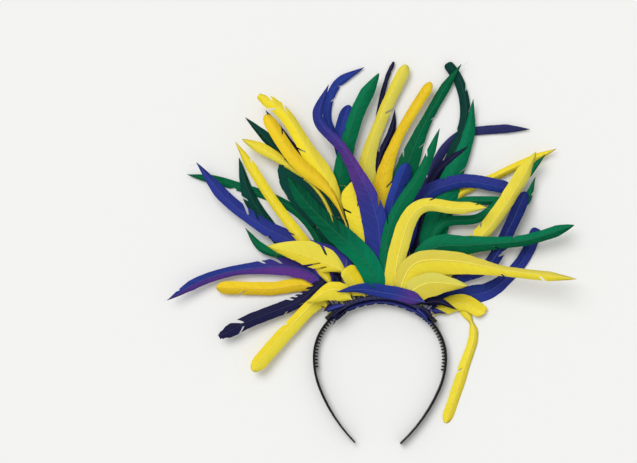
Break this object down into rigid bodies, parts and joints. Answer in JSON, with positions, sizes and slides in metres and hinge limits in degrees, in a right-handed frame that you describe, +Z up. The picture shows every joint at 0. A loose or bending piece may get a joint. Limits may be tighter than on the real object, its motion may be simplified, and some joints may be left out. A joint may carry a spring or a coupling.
{
  "type": "feather headdress headband",
  "caption": "Toothed plastic hair band with a wide fan of yellow, green and purple dyed feathers bound to its crown, worn on the head as a carnival costume piece.",
  "frame": {"origin": "middle of the bounding box on the surface it lies on", "axes": "+Z up from the surface it lies on, +X to the right across the fan, +Y from the band's tips towards the fan"},
  "size_m": [0.3792, 0.3596, 0.0356],
  "materials": {
    "black_plastic": "black injection-moulded plastic, satin gloss",
    "binding_tape": "dark purple wound tape",
    "yellow_feather": "dyed feather, soft satin sheen",
    "green_feather": "dyed feather, soft satin sheen",
    "purple_feather": "dyed feather, soft satin sheen"
  },
  "bodies": {
    "root": {"headband": "black_plastic", "binding": "binding_tape", "yellow_feather_01": "yellow_feather", "yellow_feather_02": "yellow_feather", "yellow_feather_03": "yellow_feather", "yellow_feather_04": "yellow_feather", "yellow_feather_05": "yellow_feather", "yellow_feather_06": "yellow_feather", "yellow_feather_07": "yellow_feather", "yellow_feather_08": "yellow_feather", "yellow_feather_09": "yellow_feather", "yellow_feather_10": "yellow_feather", "yellow_feather_11": "yellow_feather", "yellow_feather_12": "yellow_feather", "yellow_feather_13": "yellow_feather", "yellow_feather_14": "yellow_feather", "yellow_feather_15": "yellow_feather", "yellow_feather_16": "yellow_feather", "yellow_feather_17": "yellow_feather", "yellow_feather_18": "yellow_feather", "yellow_feather_19": "yellow_feather", "green_feather_01": "green_feather", "green_feather_02": "green_feather", "green_feather_03": "green_feather", "green_feather_04": "green_feather", "green_feather_05": "green_feather", "green_feather_06": "green_feather", "green_feather_07": "green_feather", "green_feather_08": "green_feather", "green_feather_09": "green_feather", "green_feather_10": "green_feather", "green_feather_11": "green_feather", "green_feather_12": "green_feather", "green_feather_13": "green_feather", "green_feather_14": "green_feather", "purple_feather_01": "purple_feather", "purple_feather_02": "purple_feather", "purple_feather_03": "purple_feather", "purple_feather_04": "purple_feather", "purple_feather_05": "purple_feather", "purple_feather_06": "purple_feather", "purple_feather_07": "purple_feather", "purple_feather_08": "purple_feather", "purple_feather_09": "purple_feather", "purple_feather_10": "purple_feather", "purple_feather_11": "purple_feather", "purple_feather_12": "purple_feather", "purple_feather_13": "purple_feather", "purple_feather_14": "purple_feather", "purple_feather_15": "purple_feather", "purple_feather_16": "purple_feather", "purple_feather_17": "purple_feather", "purple_feather_18": "purple_feather", "purple_feather_19": "purple_feather", "purple_crown_feather": "purple_feather", "purple_band_feather": "purple_feather", "purple_prong_feather": "purple_feather"}
  },
  "joints": []
}
